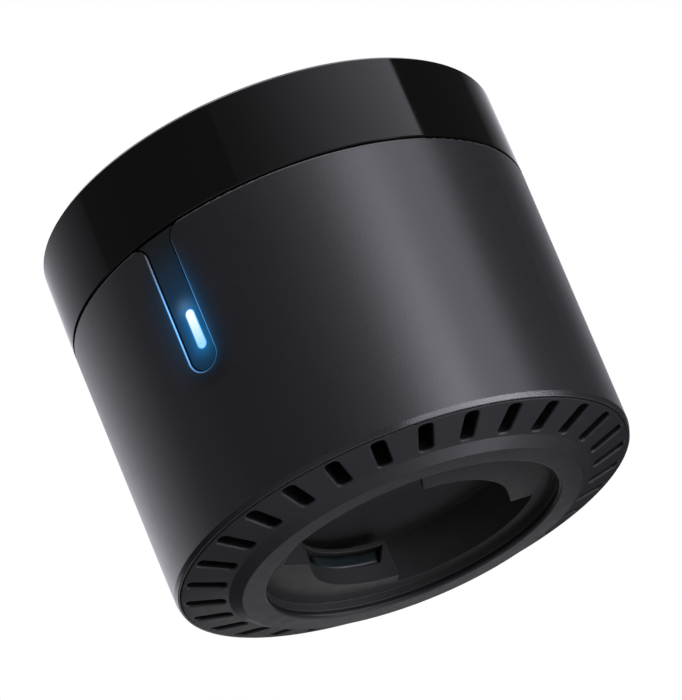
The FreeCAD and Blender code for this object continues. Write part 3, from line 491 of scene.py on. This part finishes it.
def metal(name, colour, roughness, stretch=(1.0, 1.0, 30.0)):
    """Drawn or rolled metal with fine lines and duller stains."""
    material, nodes = new_material(name)
    place = nodes.place()
    pulled = nodes.add("ShaderNodeMapping", {"Vector": place, "Scale": stretch})
    lines = nodes.noise(pulled.outputs[0], scale=900.0, detail=4.0, roughness=0.6)
    stain = nodes.noise(place, scale=300.0, detail=3.0)
    dull = rgb(*(part * 0.6 for part in colour[:3]))
    finish_material(
        nodes, Base_Color=nodes.mix(nodes.times(stain, 0.35), colour, dull), Metallic=1.0,
        Roughness=nodes.ramp(lines, 0.25, 0.75, roughness - 0.06, roughness + 0.1),
        Normal=nodes.bump(lines, FAINT_HEIGHT, strength=0.3))
    return material


def led_package():
    """Small white package with a lit phosphor."""
    material, nodes = new_material("led_white")
    grain = nodes.noise(nodes.place(), scale=4000.0)
    finish_material(
        nodes, Base_Color=nodes.mix(grain, LED_DARK, LED_LIGHT),
        Roughness=nodes.ramp(grain, 0.2, 0.8, 0.3, 0.45),
        Emission_Color=LED_BLUE, Emission_Strength=nodes.ramp(grain, 0.0, 1.0, 0.9, 1.4))
    return material


def assign_materials():
    """Gives every CAD node its material by its slot in the record."""
    finishes = {
        "shell_plastic": shell_plastic(),
        "cap_plastic": gloss_plastic("cap_plastic", grey(0.0055, -0.1)),
        "strip_plastic": strip_plastic(),
        "light_plastic": light_plastic(),
        "base_plastic": moulded_plastic(
            "base_plastic", grey(0.028, 0.1), grey(0.041, 0.1), 0.38, depth_of=vent_depth),
        "socket_plastic": moulded_plastic("socket_plastic", grey(0.033, -0.02), grey(0.046, -0.02), 0.46),
        "grip_rubber": rubber("grip_rubber", rgb(0.008, 0.016, 0.018), rgb(0.018, 0.03, 0.033)),
        "board_green": board_green(),
        "chip_black": moulded_plastic("chip_black", grey(0.012), grey(0.03), 0.5, wear_and_highlight=0.15),
        "tinned_steel": metal("tinned_steel", rgb(0.62, 0.62, 0.64), 0.3),
        "gold_plate": metal("gold_plate", rgb(0.9, 0.68, 0.3), 0.25),
        "zinc_steel": metal("zinc_steel", rgb(0.5, 0.51, 0.54), 0.35, (1.0, 1.0, 8.0)),
        "capacitor_can": metal("capacitor_can", rgb(0.75, 0.75, 0.77), 0.28),
        "ferrite": moulded_plastic("ferrite", grey(0.03), grey(0.07), 0.6, wear_and_highlight=0.2),
        "led_white": led_package(),
        "infrared_epoxy": gloss_plastic("infrared_epoxy", rgb(0.012, 0.012, 0.05), 0.08),
        "receiver_epoxy": gloss_plastic("receiver_epoxy", grey(0.008), 0.12),
        "carrier_plastic": moulded_plastic("carrier_plastic", grey(0.02), grey(0.04), 0.5, wear_and_highlight=0.2),
        "button_plastic": moulded_plastic("button_plastic", grey(0.03), grey(0.06), 0.4, wear_and_highlight=0.4),
    }
    for entry in frame["record"]["subparts"]:
        piece = frame["nodes"][entry["node"]]
        piece.data.materials.clear()
        piece.data.materials.append(finishes[entry["material_slot"]])


# Studio


def make_camera():
    """The photograph's camera: below the object, and rolled."""
    forward = (CAMERA_TARGET - CAMERA_PLACE).normalized()
    level = forward.cross(Vector((0.0, 0.0, 1.0))).normalized()
    upright = level.cross(forward)
    right = math.cos(CAMERA_ROLL) * level + math.sin(CAMERA_ROLL) * upright
    up = math.cos(CAMERA_ROLL) * upright - math.sin(CAMERA_ROLL) * level
    data = bpy.data.cameras.new("camera")
    data.lens = LENS
    data.sensor_width = SENSOR
    data.clip_start = CAMERA_NEAR
    camera = bpy.data.objects.new("camera", data)
    turn = Matrix((right, up, -forward)).transposed()
    camera.matrix_world = Matrix.Translation(CAMERA_PLACE) @ turn.to_4x4()
    bpy.context.collection.objects.link(camera)
    bpy.context.scene.camera = camera


def band(nodes, angle, start, end, soft):
    """1 between two angles in degrees, with soft ends."""
    rise = nodes.ramp(angle, start - soft, start + soft)
    fall = nodes.ramp(angle, end + soft, end - soft)
    return nodes.times(rise, fall)


# Soft panels round the studio. Each has azimuths in degrees, from 0 at +X towards 90 at +Y, and their
# softness, then elevations and their softness, then a strength that runs from one azimuth to another
PANELS = [
    ((-72.0, 23.0), 1.0, (4.0, 72.0), 3.0, (-72.0, 60.0), (0.05, 1.53)),
    ((-58.0, 10.0), 4.0, (34.0, 62.0), 5.0, (-58.0, 10.0), (0.0, 0.25)),
    ((-38.0, -8.0), 5.0, (0.0, 21.0), 4.0, (-42.0, -4.0), (0.3, 4.0)),
    ((75.0, 126.0), 3.0, (17.0, 72.0), 3.0, (71.0, 127.0), (0.04, 1.0)),
    ((127.0, 206.0), 2.0, (17.0, 72.0), 3.0, (90.0, 228.0), (0.85, 0.0)),
    ((127.0, 236.0), 4.0, (6.0, 21.0), 4.0, (150.0, 215.0), (0.95, 0.13)),
    ((-42.0, 38.0), 5.0, (-22.0, -9.0), 3.0, (-36.0, 10.0), (2.4, 4.9)),
    ((18.0, 80.0), 8.0, (-72.0, -50.0), 6.0, (18.0, 80.0), (2.2, 2.2)),
]

# Azimuths run from -120 to 240 degrees, so that no panel crosses the step between their ends
AZIMUTH_SHIFT = math.radians(60.0)

# The faint light between the panels, as elevations from and to, and strengths from and to
LIGHT_UNDER = (-22.0, -50.0, 0.02, 0.125)
LIGHT_FAR_UNDER = (-50.0, -66.0, 0.0, 0.17)
LIGHT_ABOVE = (0.0, 6.0, 0.0, 0.065)
# and bands of it, as angles from and to, and their softness
DARK_SIDE = (5.0, 120.0, 14.0)
DARK_SIDE_SHARE = 0.2
BEHIND = (5.0, 200.0, 14.0)
LOW_FRONT_LEVELS = (-42.0, -12.0, 8.0)
LOW_FRONT_STRENGTH = 0.16


def make_world():
    """White to the camera. To everything else, soft upright panels with dark gaps between them."""
    world = bpy.data.worlds.new("studio")
    world.use_nodes = True
    bpy.context.scene.world = world
    nodes = Nodes(world.node_tree)
    direction = nodes.add("ShaderNodeTexCoord").outputs["Generated"]
    turned = nodes.add(
        "ShaderNodeVectorRotate", {"Vector": direction, "Angle": -AZIMUTH_SHIFT}, rotation_type="Z_AXIS")
    turned_x, turned_y, z = nodes.split(turned.outputs[0])
    azimuth = nodes.plus(nodes.math("ARCTAN2", turned_y, turned_x), AZIMUTH_SHIFT)
    azimuth = nodes.times(azimuth, math.degrees(1.0))
    elevation = nodes.times(nodes.math("ARCSINE", z), math.degrees(1.0))
    # Faint light from everywhere, and a little more from below and above
    dark_side = band(nodes, azimuth, *DARK_SIDE)
    above = nodes.times(
        nodes.ramp(elevation, *LIGHT_ABOVE), nodes.ramp(dark_side, 0.0, 1.0, 1.0, DARK_SIDE_SHARE))
    strength = nodes.plus(
        nodes.ramp(elevation, *LIGHT_UNDER), nodes.ramp(elevation, *LIGHT_FAR_UNDER), above)
    # Low light from the front, which reaches the vents' face but not the cavity
    front = nodes.minus(1.0, band(nodes, azimuth, *BEHIND))
    low = nodes.times(band(nodes, elevation, *LOW_FRONT_LEVELS), LOW_FRONT_STRENGTH)
    strength = nodes.plus(strength, nodes.times(low, front))
    for sides, side_soft, levels, level_soft, span, power in PANELS:
        panel = nodes.times(
            band(nodes, azimuth, *sides, side_soft), band(nodes, elevation, *levels, level_soft),
            nodes.ramp(azimuth, *span, *power))
        strength = nodes.plus(strength, panel)
    light = nodes.add("ShaderNodeBackground", {"Color": STUDIO_WHITE, "Strength": strength})
    white = nodes.add("ShaderNodeBackground", {"Color": WHITE, "Strength": 1.0})
    seen = nodes.add("ShaderNodeLightPath").outputs["Is Camera Ray"]
    mixed = nodes.add("ShaderNodeMixShader", {0: seen, 1: light.outputs[0], 2: white.outputs[0]})
    nodes.add("ShaderNodeOutputWorld", {"Surface": mixed.outputs[0]})


# The floor, with its half width and its drop below the foot ring in metres
FLOOR_HALF = 0.6
FLOOR_DROP = 0.00002
FLOOR_GREYS = (grey(0.82), grey(0.86))
FLOOR_GLOW = 0.5


def make_floor():
    """A pale floor that is there only for eyes above it, so that the low camera sees the underside."""
    mesh = bpy.data.meshes.new("floor")
    corners = [(-1, -1), (1, -1), (1, 1), (-1, 1)]
    mesh.from_pydata([(x * FLOOR_HALF, y * FLOOR_HALF, 0.0) for x, y in corners], [], [(0, 1, 2, 3)])
    floor = bpy.data.objects.new("floor", mesh)
    floor.location.z = -FLOOR_DROP
    bpy.context.collection.objects.link(floor)
    material, nodes = new_material("floor")
    colour = nodes.mix(nodes.noise(nodes.place(), scale=40.0, detail=3.0), *FLOOR_GREYS)
    matte = nodes.add("ShaderNodeBsdfDiffuse", {"Color": colour})
    glow = nodes.add("ShaderNodeEmission", {"Color": colour, "Strength": FLOOR_GLOW})
    pale = nodes.add("ShaderNodeAddShader", {0: matte.outputs[0], 1: glow.outputs[0]})
    clear = nodes.add("ShaderNodeBsdfTransparent")
    seen = nodes.add("ShaderNodeLightPath").outputs["Is Camera Ray"]
    above = nodes.minus(1.0, nodes.add("ShaderNodeNewGeometry").outputs["Backfacing"])
    mixed = nodes.add("ShaderNodeMixShader", {
        0: nodes.times(seen, above), 1: clear.outputs[0], 2: pale.outputs[0]})
    nodes.add("ShaderNodeOutputMaterial", {"Surface": mixed.outputs[0]})
    mesh.materials.append(material)


# The low softbox: its width and height, its distance from the axis, level and azimuth, and its power
SOFTBOX_WIDTH = 0.06
SOFTBOX_HEIGHT = 0.016
SOFTBOX_REACH = 0.062
SOFTBOX_LEVEL = -0.014
SOFTBOX_AZIMUTH = math.radians(128.0)
SOFTBOX_WATTS = 0.0017


def make_low_softbox():
    """A small soft light low behind the object, which brightens the far side of the underside."""
    data = bpy.data.lights.new("low_softbox", "AREA")
    data.shape = "RECTANGLE"
    data.size = SOFTBOX_WIDTH
    data.size_y = SOFTBOX_HEIGHT
    data.energy = SOFTBOX_WATTS
    lamp = bpy.data.objects.new("low_softbox", data)
    lamp.location = (
        SOFTBOX_REACH * math.cos(SOFTBOX_AZIMUTH), SOFTBOX_REACH * math.sin(SOFTBOX_AZIMUTH), SOFTBOX_LEVEL)
    lamp.rotation_euler = (-lamp.location).to_track_quat("-Z", "Y").to_euler()
    lamp.visible_camera = False
    bpy.context.collection.objects.link(lamp)


assign_materials()
make_camera()
make_world()
make_floor()
make_low_softbox()

bpy.context.scene.view_settings.view_transform = "Standard"
